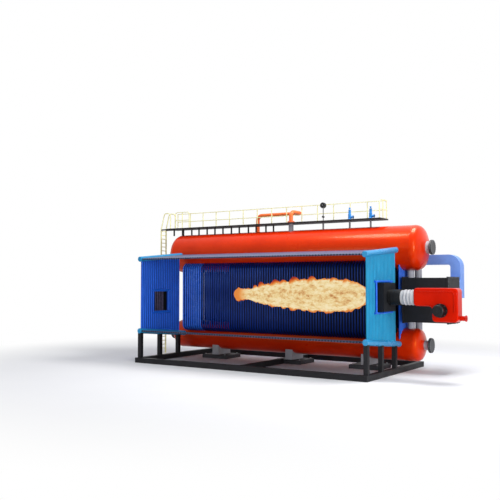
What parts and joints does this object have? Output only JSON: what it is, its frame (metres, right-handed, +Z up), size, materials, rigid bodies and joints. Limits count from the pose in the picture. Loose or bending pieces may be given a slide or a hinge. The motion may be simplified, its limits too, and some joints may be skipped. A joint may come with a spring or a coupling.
{
  "type": "industrial boiler",
  "caption": "Double-drum water-tube boiler on a steel base, with its furnace open on one side, tube walls between sloping headers, a burner, a flue duct and a railed catwalk",
  "frame": {"origin": "On the ground, in the middle of the base frame", "axes": "X along the drums towards the burner, Y from the open furnace side to the drums, Z up"},
  "size_m": [13.1113, 4.67, 5.754],
  "materials": {
    "frame_charcoal": "satin paint",
    "saddle_grey": "satin paint",
    "pad_grey": "satin paint",
    "drum_red": "gloss paint",
    "manhole_grey": "satin paint",
    "header_cyan": "gloss paint",
    "wall_blue": "gloss paint",
    "rear_wall_blue": "gloss paint",
    "panel_blue": "gloss paint",
    "bank_blue": "gloss paint",
    "downcomer_grey": "satin paint",
    "flue_black": "satin paint",
    "duct_blue": "satin paint",
    "port_black": "matt paint",
    "port_pipe_blue": "gloss paint",
    "burner_black": "satin paint",
    "burner_grey": "satin paint",
    "burner_red": "gloss paint",
    "walkway_black": "satin paint",
    "rail_yellow": "gloss paint",
    "steam_orange": "satin paint",
    "fitting_grey": "satin paint",
    "valve_blue": "gloss paint",
    "gauge_black": "gloss paint"
  },
  "bodies": {
    "root": {"base_side_beams": "frame_charcoal", "base_cross_beams": "frame_charcoal", "front_wall_posts": "frame_charcoal", "rear_wall_posts": "frame_charcoal", "drum_saddles": "saddle_grey", "saddle_pads": "pad_grey", "upper_drum_shell": "drum_red", "upper_drum_front_head": "drum_red", "upper_drum_rear_head": "drum_red", "lower_drum_shell": "drum_red", "lower_drum_front_head": "drum_red", "lower_drum_rear_head": "drum_red", "upper_front_manhole": "manhole_grey", "upper_rear_manhole": "manhole_grey", "lower_front_manhole": "manhole_grey", "lower_rear_manhole": "manhole_grey", "front_upper_header": "header_cyan", "rear_upper_header": "header_cyan", "front_lower_header": "header_cyan", "rear_lower_header": "header_cyan", "front_wall": "wall_blue", "rear_wall": "rear_wall_blue", "bank_end_tubes": "rear_wall_blue", "roof_panel": "panel_blue", "floor_panel": "panel_blue", "partition_wall": "bank_blue", "outer_wall": "bank_blue", "bank_row_1": "bank_blue", "bank_row_2": "bank_blue", "bank_row_3": "bank_blue", "bank_row_4": "bank_blue", "downcomers": "downcomer_grey", "flue_box": "flue_black", "flue_neck": "duct_blue", "flue_duct_bend": "duct_blue", "flue_duct_run": "duct_blue", "duct_brackets": "duct_blue", "burner_port_box": "port_black", "rear_port_box": "port_black", "burner_port_frame": "port_pipe_blue", "rear_port_pipes": "port_pipe_blue", "burner_sleeve": "burner_black", "burner_motor": "burner_black", "burner_feet": "burner_black", "blast_tube": "burner_grey", "burner_housing": "burner_red", "gas_inlet": "burner_red", "catwalk_deck": "walkway_black", "catwalk_legs": "walkway_black", "ladder_arms": "walkway_black", "side_rail": "rail_yellow", "end_rail": "rail_yellow", "near_gate": "rail_yellow", "ladder": "rail_yellow", "hand_rails": "rail_yellow", "steam_pipe": "steam_orange", "steam_stub": "fitting_grey", "fitting_stems": "fitting_grey", "safety_valves": "valve_blue", "pressure_gauge": "gauge_black"}
  },
  "joints": []
}
